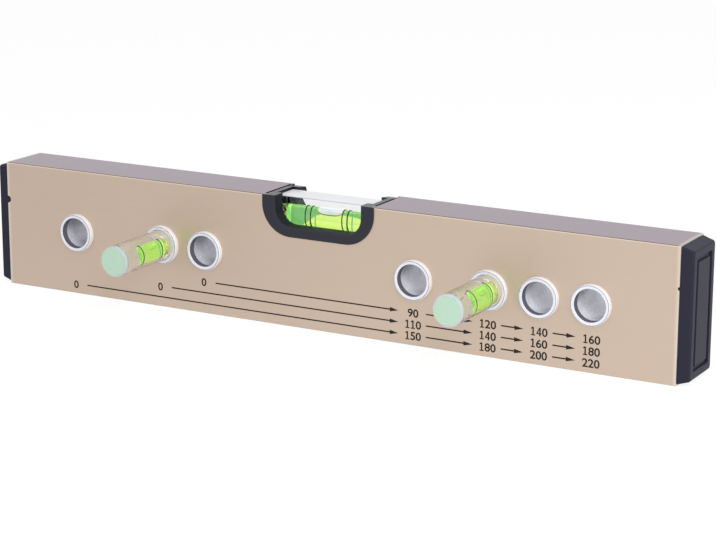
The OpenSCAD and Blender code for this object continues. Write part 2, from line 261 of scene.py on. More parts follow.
def fine_finish_group():
    """Fine grain over broad cloudiness, along any direction: a colour, a roughness and a height."""
    tree, given, result = new_group(
        "fine_finish",
        [
            ("Colour", "Color", (0.5, 0.5, 0.5, 1.0)),
            ("Grain", "Float", 1000.0),
            ("Stretch", "Vector", (1.0, 1.0, 1.0)),
            ("Contrast", "Float", 0.1),
            ("Roughness", "Float", 0.4),
            ("Roughness change", "Float", 0.1),
        ],
        [("Colour", "Color"), ("Roughness", "Float"), ("Height", "Float")],
    )
    spot = add(tree, "TexCoord").outputs["Object"]
    drawn = vector_node(tree, "MULTIPLY", spot, given["Stretch"])
    grain = noise(tree, drawn, given["Grain"], GRAIN_DETAIL)
    cloud = noise(tree, spot, math_node(tree, "MULTIPLY", given["Grain"], CLOUD_SCALE), CLOUD_DETAIL)
    fine = math_node(tree, "MULTIPLY", grain, GRAIN_SHARE)
    broad = math_node(tree, "MULTIPLY", cloud, CLOUD_SHARE)
    offset = math_node(tree, "SUBTRACT", math_node(tree, "ADD", fine, broad), 0.5)
    tone = math_node(tree, "ADD", math_node(tree, "MULTIPLY", offset, given["Contrast"]), 1.0)
    toned = add(tree, "VectorMath", {0: given["Colour"], "Scale": tone}, operation="SCALE").outputs[0]
    rough = math_node(tree, "MULTIPLY", offset, given["Roughness change"])
    feed(tree, toned, result["Colour"])
    feed(tree, math_node(tree, "ADD", rough, given["Roughness"]), result["Roughness"])
    feed(tree, grain, result["Height"])
    return tree


FINISH = fine_finish_group()


def finish(tree, shader, strength, depth, **inputs):
    """Gives a shader the fine finish: colour, roughness and a bump of that depth."""
    made = use_group(tree, FINISH, **inputs)
    feed(tree, made["Colour"], shader.inputs["Base Color"])
    feed(tree, made["Roughness"], shader.inputs["Roughness"])
    bump = add(tree, "Bump", {"Strength": strength, "Distance": depth, "Height": made["Height"]})
    feed(tree, bump.outputs[0], shader.inputs["Normal"])


def polish(tree, shader, **inputs):
    """Gives a clear shader the roughness of the fine finish alone."""
    made = use_group(tree, FINISH, **inputs)
    feed(tree, made["Roughness"], shader.inputs["Roughness"])


# Materials

PLAIN_WHITE = (1.0, 1.0, 1.0, 1.0)
GRAIN_DEPTH = 0.02 * MM
RUBBER_DEPTH = 0.03 * MM
PIT_DEPTH = 0.1 * MM
PIT_SCALE = 800.0
PIT_REACH = (0.3, 0.5)
INK_DEPTH = 0.01 * MM

# Colours of the anodised metal
CHAMPAGNE = colour(208, 188, 171)
# LEVEL_FACE_REFLECTION is a painted reflection: the top and base faces are greyer and cooler than the
# front, standing in for the darker ceiling that the top reflects.
LEVEL_FACE_REFLECTION = colour(166, 155, 163)
# EDGE_HIGHLIGHT_METAL is a painted highlight on the lower part of the rounded top edges.
EDGE_HIGHLIGHT_METAL = colour(236, 226, 212)
# EDGE_SHADE_METAL is painted shade: a dark brown line on the upper part of the rounded top edges, standing
# in for a dark reflection.
EDGE_SHADE_METAL = colour(112, 92, 78)
BUFFED_METAL = colour(240, 231, 220)
# NOTCH_SHADE is painted shade on the notch walls: a dark line where the frame meets the metal.
NOTCH_SHADE = colour(52, 50, 54)
SAWN_METAL = colour(226, 224, 222)

# How far a face turns upwards or sideways, from where its painted light or shade starts to where it is
# full
LEVEL_TURN = (0.85, 0.95)
SIDE_TURN = (0.3, 0.6)
EDGE_HIGHLIGHT_TURN = ((0.05, 0.2), (0.5, 0.4))
EDGE_SHADE_TURN = ((0.5, 0.6), (0.9, 0.8))

# Distances from the profile's ends and from the vial's middle, in the same way
BUFFED_REACH = (1.5 * MM, 0.2 * MM)
SAWN_REACH = (0.06 * MM, 0.02 * MM)
NOTCH_REACH = (30 * MM, 29 * MM)

# How much of the buffed colour shows at the ends
BUFFED_SHARE = 0.5


def anodised_aluminium():
    """Satin champagne metal, drawn lengthwise, with buffed ends and painted light: top and base painted
    greyer as a painted reflection, a painted highlight and a painted dark line on the rounded top edges,
    and painted shade on the notch walls.
    """
    material, tree, shader = new_material("anodised_aluminium", Metallic=0.85)
    coordinates = add(tree, "TexCoord")
    facing = add(tree, "SeparateXYZ", {0: coordinates.outputs["Normal"]}).outputs
    spot = add(tree, "SeparateXYZ", {0: coordinates.outputs["Object"]}).outputs
    level_face = ramp(tree, math_node(tree, "ABSOLUTE", facing["Z"]), *LEVEL_TURN)
    side_face = ramp(tree, math_node(tree, "ABSOLUTE", facing["X"]), *SIDE_TURN)
    edge_highlight = band(tree, facing["Z"], *EDGE_HIGHLIGHT_TURN)
    edge_shade = band(tree, facing["Z"], *EDGE_SHADE_TURN)
    from_end = math_node(tree, "SUBTRACT", profile_high.x, math_node(tree, "ABSOLUTE", spot["X"]))
    buffed = ramp(tree, from_end, *BUFFED_REACH, 0.0, BUFFED_SHARE)
    sawn = ramp(tree, from_end, *SAWN_REACH)
    from_vial = math_node(tree, "ABSOLUTE", math_node(tree, "SUBTRACT", spot["X"], vial_x))
    notch_shade = math_node(tree, "MULTIPLY", ramp(tree, from_vial, *NOTCH_REACH), side_face)
    # Painted light over the metal: a painted reflection on the top and base, a painted highlight and a
    # painted dark line on the rounded top edges, and painted shade on the notch walls. The buffed and sawn
    # ends are bare metal.
    layers = (
        (level_face, LEVEL_FACE_REFLECTION), (edge_highlight, EDGE_HIGHLIGHT_METAL), (edge_shade, EDGE_SHADE_METAL),
        (buffed, BUFFED_METAL), (notch_shade, NOTCH_SHADE), (sawn, SAWN_METAL),
    )
    metal = CHAMPAGNE
    for share, shade in layers:
        metal = blend_colour(tree, share, metal, shade)
    finish(
        tree, shader, strength=0.12, depth=GRAIN_DEPTH,
        Colour=metal, Grain=900.0, Stretch=(0.02, 1.0, 1.0), Contrast=0.10,
        Roughness=0.46, Roughness_change=0.12,
    )
    return material


def moulded_plastic(name, shade, roughness, shine, stretch=(1.0, 1.0, 1.0)):
    """Dark moulded plastic with a fine spark-eroded grain, which a stretch draws into streaks."""
    material, tree, shader = new_material(name, Specular_IOR_Level=shine)
    finish(
        tree, shader, strength=0.2, depth=GRAIN_DEPTH,
        Colour=shade, Grain=2600.0, Stretch=stretch, Contrast=0.35,
        Roughness=roughness, Roughness_change=0.12,
    )
    return material


# Refraction of acrylic in air, and of air in the liquid
ACRYLIC_INDEX = 1.49
AIR_INDEX = 0.75

CLEAR_TINT = (0.97, 0.975, 0.985, 1.0)
ROD_TINT = (0.985, 0.955, 0.945, 1.0)
# ROD_EDGE_SHADE is painted shade: the grey that the rod's edge-on faces are tinted with.
ROD_EDGE_SHADE = (0.32, 0.30, 0.31, 1.0)
ROD_EDGE_TURN = (0.6, 0.9)


def clear_acrylic(name, index):
    """Clear acrylic with faint polishing marks, and its refraction against what lies round it."""
    material, tree, shader = new_material(
        name, Transmission_Weight=1.0, IOR=index, Base_Color=CLEAR_TINT,
    )
    polish(tree, shader, Grain=500.0, Roughness=0.03, Roughness_change=0.03)
    return material


def rod_acrylic():
    """Turned acrylic with a faint haze, and painted shade: its colour turns grey where it is seen edge-on,
    as a dark outline.
    """
    material, tree, shader = new_material("rod_acrylic", Transmission_Weight=0.92, IOR=ACRYLIC_INDEX)
    polish(tree, shader, Grain=500.0, Roughness=0.06, Roughness_change=0.04)
    edge_on = add(tree, "LayerWeight").outputs["Facing"]
    tint = blend_colour(tree, ramp(tree, edge_on, *ROD_EDGE_TURN), ROD_TINT, ROD_EDGE_SHADE)
    feed(tree, tint, shader.inputs["Base Color"])
    return material


def frosted_acrylic(name, shade, clearness):
    """Sawn or scraped acrylic, which shows pale."""
    material, tree, shader = new_material(name, Transmission_Weight=clearness, IOR=ACRYLIC_INDEX)
    finish(
        tree, shader, strength=0.2, depth=GRAIN_DEPTH,
        Colour=shade, Grain=1200.0, Stretch=(0.1, 1.0, 1.0), Contrast=0.1,
        Roughness=0.35, Roughness_change=0.15,
    )
    return material


LIQUID_TINT = (0.60, 0.54, 0.08, 1.0)
# BUBBLE_PAINTED_WHITE and BUBBLE_GLOW are painted light: the bubble's white look stands in for the light
# its surface reflects.
BUBBLE_PAINTED_WHITE = (0.84, 0.80, 0.92, 1.0)
BUBBLE_GLOW = (0.93, 0.84, 1.0, 1.0)


def vial_liquid(name, index, glow):
    """Yellow-green liquid that glows a little green, with its refraction against its vial."""
    material, tree, shader = new_material(
        name, Transmission_Weight=1.0, IOR=index, Roughness=0.0, Emission_Strength=0.27,
    )
    tint = use_group(tree, FINISH, Colour=LIQUID_TINT, Grain=120.0, Contrast=0.12)
    feed(tree, tint["Colour"], shader.inputs["Base Color"])
    glowing = use_group(tree, FINISH, Colour=glow, Grain=200.0, Contrast=0.3)
    feed(tree, glowing["Colour"], shader.inputs["Emission Color"])
    return material


def vial_bubble():
    """Air at the roof of the bore, which shows white through a painted reflection: a pale lilac-white
    colour and a faint glow.
    """
    material, tree, shader = new_material(
        "vial_bubble", Transmission_Weight=0.2, IOR=AIR_INDEX,
        Emission_Strength=0.2, Emission_Color=BUBBLE_GLOW,
    )
    finish(
        tree, shader, strength=0.05, depth=GRAIN_DEPTH,
        Colour=BUBBLE_PAINTED_WHITE, Grain=300.0, Contrast=0.06,
        Roughness=0.06, Roughness_change=0.04,
    )
    return material


def meniscus():
    """Painted shade: a dark green line where the air meets the liquid and the wall."""
    material, tree, shader = new_material("meniscus", Specular_IOR_Level=0.3)
    finish(
        tree, shader, strength=0.05, depth=GRAIN_DEPTH,
        Colour=colour(78, 132, 66), Grain=400.0, Contrast=0.3,
        Roughness=0.3, Roughness_change=0.1,
    )
    return material


def small_air():
    """Air inside the liquid of a small vial."""
    material, tree, shader = new_material(
        "small_air", Transmission_Weight=1.0, IOR=AIR_INDEX, Base_Color=PLAIN_WHITE,
    )
    polish(tree, shader, Grain=300.0, Roughness=0.01, Roughness_change=0.01)
    return material


# Radii on a sleeve, as shares of its flange's width
SLEEVE_BORE = 0.407
SLEEVE_BORE_BLUR = 0.005
FLANGE_LINE = 0.479
FLANGE_LINE_REACH = 0.010
FLANGE_LINE_FLOOR = 0.004
FLANGE_RIM = 0.496
FLANGE_RIM_BLUR = 0.006

# Colours of the sleeves, their shares of metal, and how the bore's grey is mottled and painted lighter
# towards the bottom
MOTTLE_SHARE = 0.5
MOTTLE_REACH = (0.0, 0.5)
FLANGE_METALLIC = 0.3
BORE_METALLIC = 0.25
FLANGE_METAL = colour(224, 225, 234)
# FLANGE_LINE_SHADE is painted shade: a grey line near the flange's edge, standing in for the shade at that
# edge.
FLANGE_LINE_SHADE = colour(118, 120, 136)
# RIM_HIGHLIGHT is a painted highlight on the flange's outer rim.
RIM_HIGHLIGHT = colour(252, 252, 255)
# BORE_PAINTED_LIGHT low in the bore and BORE_PAINTED_SHADE higher up are painted light and shade from
# above.
BORE_PAINTED_LIGHT = colour(228, 228, 238)
BORE_PAINTED_SHADE = colour(154, 154, 164)


def bright_sleeve():
    """Turned metal with fine rings, a painted shade line inside the flange's rim, a painted highlight that
    makes that rim bright, and a mottled bore painted lighter at the bottom and darker at the top.
    """
    material, tree, shader = new_material("bright_sleeve")
    place_in_sleeve = add(tree, "TexCoord").outputs["Generated"]
    centred = vector_node(tree, "SUBTRACT", place_in_sleeve, (0.5, 0.5, 0.5))
    flat = vector_node(tree, "MULTIPLY", centred, (1.0, 0.0, 1.0))
    radius = add(tree, "VectorMath", {0: flat}, operation="LENGTH").outputs["Value"]
    spot = add(tree, "SeparateXYZ", {0: centred}).outputs
    mottle = noise(tree, place_in_sleeve, scale=6.0, detail=2.0)
    # Painted light and shade in the bore: lighter towards the bottom, darker towards the top, with a
    # random mottle.
    shaded = math_node(tree, "ADD", spot["Z"], math_node(tree, "MULTIPLY", mottle, MOTTLE_SHARE))
    bore_shade_and_mottle = blend_colour(tree, ramp(tree, shaded, *MOTTLE_REACH), BORE_PAINTED_LIGHT, BORE_PAINTED_SHADE)
    line = band(
        tree, radius,
        rise=(FLANGE_LINE - FLANGE_LINE_REACH, FLANGE_LINE - FLANGE_LINE_FLOOR),
        fall=(FLANGE_LINE + FLANGE_LINE_REACH, FLANGE_LINE + FLANGE_LINE_FLOOR),
    )
    rim = ramp(tree, radius, FLANGE_RIM - FLANGE_RIM_BLUR, FLANGE_RIM)
    bore = ramp(tree, radius, SLEEVE_BORE, SLEEVE_BORE - SLEEVE_BORE_BLUR)
    metal = FLANGE_METAL
    for share, shade in ((line, FLANGE_LINE_SHADE), (rim, RIM_HIGHLIGHT), (bore, bore_shade_and_mottle)):
        metal = blend_colour(tree, share, metal, shade)
    made = use_group(
        tree, FINISH, Colour=metal, Grain=700.0, Contrast=0.06, Roughness=0.27, Roughness_change=0.05,
    )
    feed(tree, made["Colour"], shader.inputs["Base Color"])
    feed(tree, made["Roughness"], shader.inputs["Roughness"])
    metallic = ramp(tree, bore, 0.0, 1.0, FLANGE_METALLIC, BORE_METALLIC)
    feed(tree, metallic, shader.inputs["Metallic"])
    winding = add(tree, "CombineXYZ", {"X": radius, "Y": spot["Y"]}).outputs[0]
    rings = noise(tree, winding, scale=60.0, detail=3.0)
    bump = add(tree, "Bump", {"Strength": 0.05, "Distance": GRAIN_DEPTH, "Height": rings})
    feed(tree, bump.outputs[0], shader.inputs["Normal"])
    return material


def grip_rubber():
    """Dark matt rubber."""
    material, tree, shader = new_material("grip_rubber", Specular_IOR_Level=0.3)
    finish(
        tree, shader, strength=0.3, depth=RUBBER_DEPTH,
        Colour=colour(98, 98, 108), Grain=3000.0, Contrast=0.3,
        Roughness=0.7, Roughness_change=0.15,
    )
    return material


def pin_front():
    """Pale mint, slightly see-through plastic."""
    material, tree, shader = new_material(
        "pin_front", Subsurface_Weight=0.35, Subsurface_Scale=1.5 * MM, Specular_IOR_Level=0.4,
    )
    finish(
        tree, shader, strength=0.1, depth=GRAIN_DEPTH,
        Colour=colour(178, 206, 186), Grain=1500.0, Contrast=0.2,
        Roughness=0.45, Roughness_change=0.15,
    )
    return material


def pin_rear(shade):
    """Pale plastic with a painted glow in its own colour, standing in for the light inside the clear rod
    that brightens it.
    """
    material, tree, shader = new_material(
        "pin_rear", Specular_IOR_Level=0.4, Emission_Strength=0.25, Emission_Color=shade,
    )
    finish(
        tree, shader, strength=0.1, depth=GRAIN_DEPTH,
        Colour=shade, Grain=1500.0, Contrast=0.1,
        Roughness=0.45, Roughness_change=0.1,
    )
    return material


def vial_plug(name, pit_colour, plug_colour):
    """Yellow sealing plug with pits."""
    material, tree, shader = new_material(name, Specular_IOR_Level=0.4)
    spot = add(tree, "TexCoord").outputs["Object"]
    pits = add(tree, "TexVoronoi", {"Vector": spot, "Scale": PIT_SCALE}).outputs[0]
    shade = blend_colour(tree, ramp(tree, pits, *PIT_REACH), pit_colour, plug_colour)
    finish(
        tree, shader, strength=0.3, depth=PIT_DEPTH,
        Colour=shade, Grain=1500.0, Contrast=0.3,
        Roughness=0.4, Roughness_change=0.2,
    )
    return material


def marking_black():
    """Black-brown ink with a trace of the screen it was printed through."""
    material, tree, shader = new_material("marking_black", Specular_IOR_Level=0.3)
    finish(
        tree, shader, strength=0.1, depth=INK_DEPTH,
        Colour=colour(28, 23, 20), Grain=4000.0, Contrast=0.35,
        Roughness=0.6, Roughness_change=0.15,
    )
    return material


METAL = anodised_aluminium()
CAP_PLASTIC = moulded_plastic(
    "cap_plastic", colour(38, 38, 51), roughness=0.5, shine=0.15, stretch=(1.0, 1.0, 0.05),
)
FRAME_PLASTIC = moulded_plastic("frame_plastic", colour(22, 22, 37), roughness=0.3, shine=0.45)
FRAME_INSIDE = moulded_plastic("frame_inside", colour(28, 28, 39), roughness=0.5, shine=0.12)
CLEAR = clear_acrylic("clear_acrylic", ACRYLIC_INDEX)
CLEAR_INSIDE = clear_acrylic("clear_acrylic_inside", index=1.02)
FROSTED = frosted_acrylic("frosted_top", (0.86, 0.85, 0.90, 1.0), clearness=0.12)
RIM_FROST = frosted_acrylic("frosted_rim", colour(206, 212, 216), clearness=0.3)
EDGE_FROST = frosted_acrylic("frosted_edge", colour(186, 180, 198), clearness=0.2)
ROD = rod_acrylic()
LIQUID = vial_liquid("vial_liquid", index=1.3, glow=(0.33, 1.0, 0.40, 1.0))
SMALL_LIQUID = vial_liquid("small_liquid", index=1.2, glow=(0.26, 1.2, 0.08, 1.0))
BUBBLE = vial_bubble()
MENISCUS = meniscus()
AIR = small_air()
PLUG = vial_plug("vial_plug", colour(44, 52, 16), colour(236, 246, 150))
STOPPER = vial_plug("small_stopper", colour(190, 235, 70), colour(226, 255, 130))
INK = marking_black()
MINT = pin_front()
SLEEVE_METAL = bright_sleeve()
RUBBER = grip_rubber()
TAIL_PLASTIC = pin_rear(colour(226, 210, 192))

CAD_FINISHES = {
    "profile": METAL,
    "level_vial_plug": PLUG,
    "level_vial_rings": INK,
}
for hole in HOLES:
    CAD_FINISHES[f"sleeve_{hole}"] = SLEEVE_METAL
    CAD_FINISHES[f"grip_ring_{hole}"] = RUBBER
for side in PIN_SIDES:
    CAD_FINISHES[f"pin_{side}_rear_plug"] = TAIL_PLASTIC
    CAD_FINISHES[f"pin_{side}_vial"] = CLEAR_INSIDE
    CAD_FINISHES[f"pin_{side}_stopper"] = STOPPER
    CAD_FINISHES[f"pin_{side}_rings"] = INK
for name, material in CAD_FINISHES.items():
    nodes[name].data.materials.clear()
    nodes[name].data.materials.append(material)


# End caps

CAP_STEP = 0.45 * MM
CAP_TAPER = Vector((0.2 * MM, 1.2 * MM))
CAP_ROUND = 1.0 * MM
PANEL_MARGIN = 3.2 * MM
GROOVE_WIDTH = 1.6 * MM
GROOVE_DEPTH = 0.9 * MM
GROOVE_EDGE = 0.2 * MM
PANEL_DROP = 0.1 * MM
PLUG_WALL = 1.6 * MM
PROFILE_WALL = 1.8 * MM
KEY_HEIGHT = 34.8 * MM
KEY_RADIUS = {"left": 1.4 * MM, "right": 0.6 * MM}


def round_rectangle(x, half_y, half_z, radius):
    """A loop round a rectangle that stands across the level."""
    points = []
    for corner, (sign_y, sign_z) in enumerate(((1, 1), (-1, 1), (-1, -1), (1, -1))):
        centre = (sign_y * (half_y - radius), top_z / 2 + sign_z * (half_z - radius))
        for y, z in arc(centre, radius, 90 * corner, 90 * corner + 90, CORNER_STEPS):
            points.append(Vector((x, y, z)))
    return points


def end_cap(side, sign):
    """Cap with a plug inside the profile, a drawn-in head and a grooved panel on its end."""
    cap_low, cap_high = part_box(f"end_cap_{side}")
    length = (cap_high.x - profile_high.x) if sign > 0 else (profile_low.x - cap_low.x)
    plug_length = (cap_high.x - cap_low.x) - length
    base_half = Vector((back_y - CAP_STEP, top_z / 2 - CAP_STEP))
    end_half = base_half - CAP_TAPER
    plug_half = Vector((back_y - PROFILE_WALL, top_z / 2 - PROFILE_WALL))
    hollow_half = plug_half - Vector((PLUG_WALL, PLUG_WALL))
    panel_half = end_half - Vector((PANEL_MARGIN, PANEL_MARGIN))
    inner_half = panel_half - Vector((GROOVE_WIDTH, GROOVE_WIDTH))
    edge = Vector((GROOVE_EDGE, GROOVE_EDGE))
    corner = CAP_ROUND
    small = GROOVE_EDGE * 2
    stations = [
        (-GROOVE_DEPTH, hollow_half, small),
        (-plug_length, hollow_half, small),
        (-plug_length, plug_half, small),
        (0.0, plug_half, small),
        (0.0, base_half, corner),
    ]
    for step in range(CORNER_STEPS + 1):
        angle = math.pi / 2 * step / CORNER_STEPS
        inset = corner * (1 - math.cos(angle))
        out = length - corner + corner * math.sin(angle)
        stations.append((out, end_half - Vector((inset, inset)), corner))
    stations += [
        (length, panel_half + edge, small),
        (length - GROOVE_EDGE, panel_half, small),
        (length - GROOVE_DEPTH, panel_half, small),
        (length - GROOVE_DEPTH, inner_half, small),
        (length - PANEL_DROP - GROOVE_EDGE, inner_half, small),
        (length - PANEL_DROP, inner_half - edge, small),
    ]
    shape = bmesh.new()
    loops = [
        round_rectangle(sign * (profile_high.x + out), half.x, half.y, radius)
        for out, half, radius in stations
    ]
    skin(shape, loops)
    key_radius = KEY_RADIUS[side]
    key_length = base_half.x - plug_half.x
    key = [
        (0, 0), (key_radius, 0), (key_radius, key_length - GROOVE_EDGE),
        (key_radius - GROOVE_EDGE, key_length), (0, key_length),
    ]
    for face_sign in (-1, 1):
        start = Vector((sign * profile_high.x, face_sign * plug_half.x, KEY_HEIGHT))
        lathe(shape, key, start, (0, face_sign, 0))
    piece = place(f"cap_{side}", shape, "level", CAP_PLASTIC, "cap_plastic", f"end_cap_{side}")
    even_normals(piece)


end_cap("left", -1)
end_cap("right", 1)


# Vial frame

RIM_LAP = 1.0 * MM
RIM_SIDE = 5.6 * MM
RIM_BOTTOM = 3.8 * MM
RIM_OUTER_RADIUS = 12.0 * MM
RIM_INNER_RADIUS = 6.5 * MM
REAR_RADIUS = 16.0 * MM
FRAME_EDGE = 0.35 * MM
ARM_END = 0.8 * MM
REAR_FALL = 0.7 * MM
INSIDE_REACH = 0.5 * MM
INSIDE_TURN = 0.3
WINDOW_EDGE = 0.9 * MM
REAR_LIP = 0.9 * MM
BLOCK_AIR = 0.04 * MM
BLOCK_GRIP = 0.01 * MM
POCKET_RADIUS = 8.0 * MM
frame_half = (frame_high.x - frame_low.x) / 2
window_half = frame_half - RIM_SIDE

# Outlines of a U: half of its width, the height of its floor and the radius of its corners
RIM = (frame_half, frame_low.z, RIM_OUTER_RADIUS)
NOTCH = (frame_half - RIM_LAP, frame_low.z + RIM_LAP, RIM_OUTER_RADIUS - RIM_LAP)
WINDOW = (window_half, frame_low.z + RIM_BOTTOM, RIM_INNER_RADIUS)
REAR_WINDOW = (window_half, frame_low.z + RIM_LAP + REAR_LIP, REAR_RADIUS)
BLOCK = (block_high.x - vial_x, block_low.z, POCKET_RADIUS)


def grown(outline, by):
    """The same U, larger by a margin all round."""
    half, floor_z, radius = outline
    return half + by, floor_z - by, radius + by


def u_loop(outline, y, fall=0.0):
    """Points of a U from the top of its left arm round to the top of its right arm."""
    half, floor_z, radius = outline
    over = max(0.0, floor_z + radius - (top_z - ARM_END))
    end_angle = -math.degrees(math.asin(over / radius))
    right = arc((half - radius, floor_z + radius), radius, -90, end_angle, 2 * CORNER_STEPS)
    right.append((right[-1][0], top_z - fall))
    left = [(-x, z) for x, z in reversed(right)]
    return [Vector((vial_x + x, y, z)) for x, z in left + right]


def u_sweep(shape, stations):
    """A closed band along a U, from its cross-section's corners in order."""
    rings = skin(shape, [u_loop(*station) for station in stations], around=False, ends=False)
    first, last = rings[0], rings[-1]
    for here in range(len(first) - 1):
        shape.faces.new((last[here], last[here + 1], first[here + 1], first[here]))
    for end in (0, -1):
        shape.faces.new([ring[end] for ring in rings])


def vial_frame():
    """Dark saddle: a front rim that laps the metal, a rear part and the seat of the block."""
    seat_front = block_low.y - BLOCK_AIR
    seat_rear = block_high.y + BLOCK_AIR
    half, floor_z, radius = BLOCK
    pocket = (half - BLOCK_GRIP, floor_z - BLOCK_AIR, radius)
    front_lip = [(NOTCH, seat_front), (NOTCH, front_y), (RIM, front_y), (RIM, frame_low.y)]
    for out, back in arc((WINDOW_EDGE, WINDOW_EDGE), WINDOW_EDGE, 270, 180, CORNER_STEPS):
        front_lip.append((grown(WINDOW, out), frame_low.y + back))
    front_lip.append((WINDOW, seat_front))
    shape = bmesh.new()
    u_sweep(shape, front_lip)
    u_sweep(shape, [
        (NOTCH, seat_rear), (NOTCH, back_y, REAR_FALL),
        (REAR_WINDOW, back_y, REAR_FALL), (REAR_WINDOW, seat_rear),
    ])
    u_sweep(shape, [(NOTCH, seat_front), (NOTCH, seat_rear), (pocket, seat_rear), (pocket, seat_front)])
    piece = place("frame_moulding", shape, "level", FRAME_PLASTIC, "frame_plastic", "vial_frame")
    piece.data.materials.append(FRAME_INSIDE)
    for face in piece.data.polygons:
        inward = Vector((vial_x - face.center.x, 0, top_z - face.center.z))
        if abs(face.normal.y) < INSIDE_TURN and face.normal.dot(inward) > INSIDE_REACH:
            face.material_index = 1
    round_edges(piece, FRAME_EDGE)


vial_frame()


# Level vial

BLOCK_EDGE = 0.25 * MM
BORE_ARC = 1000 * MM
LIQUID_EDGE = 0.5 * MM
BUBBLE_LAP = 0.01 * MM
BUBBLE_DEPTH = 2.4 * MM
BUBBLE_STEPS = 24
BUBBLE_POWER = 3.0
BUBBLE_SAG = 0.12
SAG_POWER = 4


def clear_block():
    """Clear block with its lower corners rounded to fit the frame, a sawn top and scraped edges."""
    half, floor_z, radius = BLOCK
    corner = arc((half - radius, floor_z + radius), radius, -90, 0, 2 * CORNER_STEPS)
    right = corner + [(half, block_high.z)]
    outline = [(-x, z) for x, z in reversed(right)] + right
    shape = bmesh.new()
    skin(shape, [
        [Vector((vial_x + x, y, z)) for x, z in outline] for y in (block_low.y, block_high.y)
    ])
    piece = place("block_clear", shape, "level", CLEAR, "clear_acrylic", "level_vial_block")
    piece.data.materials.append(FROSTED)
    piece.data.materials.append(EDGE_FROST)
    for face in piece.data.polygons:
        if face.center.z > block_high.z - BLOCK_EDGE:
            face.material_index = 1
    round_edges(piece, BLOCK_EDGE).material = 2


def barrel_outline(radius, length, barrel):
    """Half section of a barrel with rounded ends, about the middle of its axis."""
    half = length / 2
    wall_half = half - LIQUID_EDGE
    edge_radius = radius - half ** 2 / (2 * barrel) - LIQUID_EDGE
    outline = [(0.0, -half)]
    outline += arc((edge_radius, -wall_half), LIQUID_EDGE, -90, 0, CORNER_STEPS)
    for step in range(1, 2 * CORNER_STEPS):
        at = wall_half * (step / CORNER_STEPS - 1)
        outline.append((radius - at ** 2 / (2 * barrel), at))
    outline += arc((edge_radius, wall_half), LIQUID_EDGE, 0, 90, CORNER_STEPS)
    outline.append((0.0, half))
    return outline


def liquid(name, node, body, along, radius, barrel, material):
    """Liquid that fills its bore."""
    low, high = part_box(node)
    along = Vector(along)
    length = abs((high - low).dot(along))
    middle = (low + high) / 2
    middle.z = low.z + radius
    shape = bmesh.new()
    lathe(shape, barrel_outline(radius, length, barrel), middle, along)
    place(name, shape, body, material, "vial_liquid", node)


def bubble(name, node, liquid_node, body, along, roof, depth, material):
    """Bubble at the roof of its bore: flat below, round at its ends."""
    low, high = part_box(node)
    liquid_low, liquid_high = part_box(liquid_node)
    along = Vector(along)
    across = Vector((0, 0, 1)).cross(along)
    length = abs((high - low).dot(along))
    middle = (low + high) / 2
    middle.z = liquid_low.z + abs((liquid_high - liquid_low).dot(across)) / 2
    loops = []
    for step in range(1, BUBBLE_STEPS):
        place_along = -math.cos(math.pi * step / BUBBLE_STEPS)
        share = (1 - abs(place_along) ** BUBBLE_POWER) ** (1 / BUBBLE_POWER)
        here = depth * share
        half_angle = math.acos(1 - here / roof)
        loop = []
        for turn in range(BUBBLE_STEPS + 1):
            angle = half_angle * (1 - 2 * turn / BUBBLE_STEPS)
            loop.append((roof * math.sin(angle), roof * math.cos(angle)))
        floor_half = roof * math.sin(half_angle)
        for turn in range(1, BUBBLE_STEPS):
            y = floor_half * (2 * turn / BUBBLE_STEPS - 1)
            sag = BUBBLE_SAG * here * (1 - (y / floor_half) ** SAG_POWER)
            loop.append((y, roof - here - sag))
        loops.append([
            middle + along * (place_along * length / 2) + across * y + Vector((0, 0, z)) for y, z in loop
        ])
    shape = bmesh.new()
    skin(shape, loops)
    piece = place(name, shape, body, material, "vial_bubble", node)
    piece.data.materials.append(MENISCUS)
    roof_edges = (0, BUBBLE_STEPS - 1)
    for face in piece.data.polygons:
        if face.index % len(loops[0]) in roof_edges:
            face.material_index = 1


level_liquid_low, level_liquid_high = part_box("level_vial_liquid")
LEVEL_BORE = (level_liquid_high.y - level_liquid_low.y) / 2
clear_block()
liquid("liquid_level", "level_vial_liquid", "level", (1, 0, 0), LEVEL_BORE, BORE_ARC, LIQUID)
bubble(
    "bubble_level", "level_vial_bubble", "level_vial_liquid", "level_bubble", (1, 0, 0),
    LEVEL_BORE + BUBBLE_LAP, BUBBLE_DEPTH, BUBBLE,
)


# Plug-in pins

ROD_EDGE = 0.65 * MM
PLUG_EDGE = 0.05 * MM
PLUG_LAP = 0.01 * MM
FRONT_RIM = 1.3 * MM
SMALL_ARC = 300 * MM
SMALL_BUBBLE_GAP = 0.12 * MM
SMALL_BUBBLE_DEPTH = 0.7 * MM


def round_node(node):
    """Radius, length and front end of a round node that runs from front to back."""
    low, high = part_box(node)
    front = Vector(((low.x + high.x) / 2, low.y, (low.z + high.z) / 2))
    return (high.x - low.x) / 2, high.y - low.y, front


